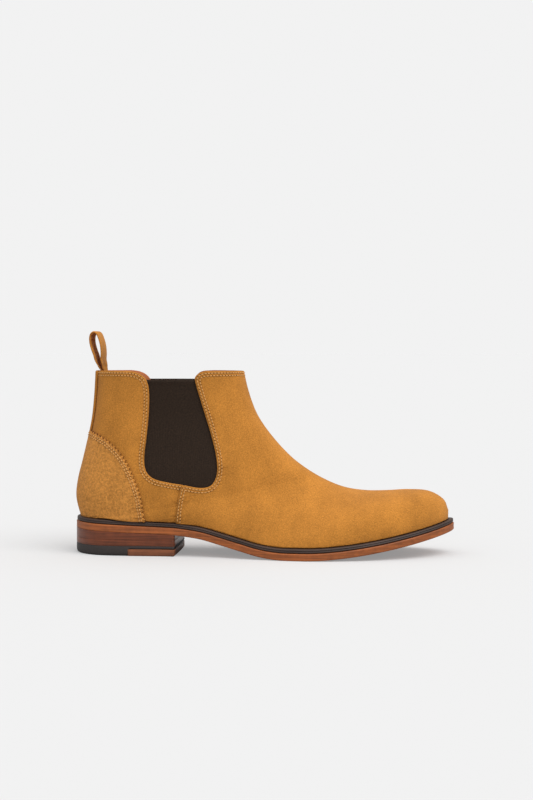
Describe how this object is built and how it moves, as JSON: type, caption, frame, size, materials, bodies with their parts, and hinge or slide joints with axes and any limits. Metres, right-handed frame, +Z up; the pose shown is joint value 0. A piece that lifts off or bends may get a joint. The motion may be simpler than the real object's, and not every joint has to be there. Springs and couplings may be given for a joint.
{
  "type": "chelsea boot",
  "caption": "Right-foot ankle boot in suede with elastic side gores, a pull tab, a welted leather sole and a low stacked heel.",
  "frame": {"origin": "middle of the overall box, on the ground plane that the sole and heel rest on", "axes": "+X from heel to toe, +Z up, -Y on the boot's outer (lateral) side"},
  "size_m": [0.3001, 0.1039, 0.1753],
  "materials": {
    "suede": "tan suede with a fine nap",
    "patch_suede": "tan suede with a coarser, pebbled nap",
    "elastic": "dark brown ribbed elastic webbing",
    "lining": "smooth tan lining leather",
    "stiffener": "matt off-white fibre sheet",
    "board": "pressed cellulose board",
    "cork": "granulated cork",
    "steel": "plain steel",
    "brass": "plain brass",
    "welt": "dark brown burnished leather with fine slanted ribs",
    "sole_leather": "burnished red-brown leather edge",
    "heel_leather": "burnished dark red-brown stacked leather",
    "rubber": "matt black rubber"
  },
  "bodies": {
    "boot": {"back_strip": "suede", "block_pin_1": "brass", "block_pin_2": "brass", "block_pin_3": "brass", "block_pin_4": "brass", "cork_filler": "cork", "front_block": "sole_leather", "gore_inner": "elastic", "gore_outer": "elastic", "heel_counter": "stiffener", "heel_lift_lower": "heel_leather", "heel_lift_upper": "heel_leather", "heel_lining": "lining", "heel_nail_1": "steel", "heel_nail_2": "steel", "heel_nail_3": "steel", "heel_nail_4": "steel", "heel_nail_5": "steel", "heel_pad": "stiffener", "heel_patch": "patch_suede", "insole_board": "board", "outsole": "sole_leather", "pull_tab_tail": "suede", "quarter_inner": "suede", "quarter_lining_inner": "lining", "quarter_lining_outer": "lining", "quarter_outer": "suede", "rubber_top_piece": "rubber", "shank": "steel", "sock_liner": "lining", "toe_puff": "stiffener", "vamp": "suede", "vamp_lining": "lining", "welt": "welt"},
    "pull_tab": {"pull_tab": "suede"}
  },
  "joints": [
    {"name": "pull_tab_bend", "type": "hinge", "parent": "boot", "child": "pull_tab", "pos_m": [-0.1303, 0.002, 0.1467], "axis": [0.0698, 0.9976, 0], "range_deg": [-75, 80], "stiffness_Nm_per_rad": 0.05}
  ]
}
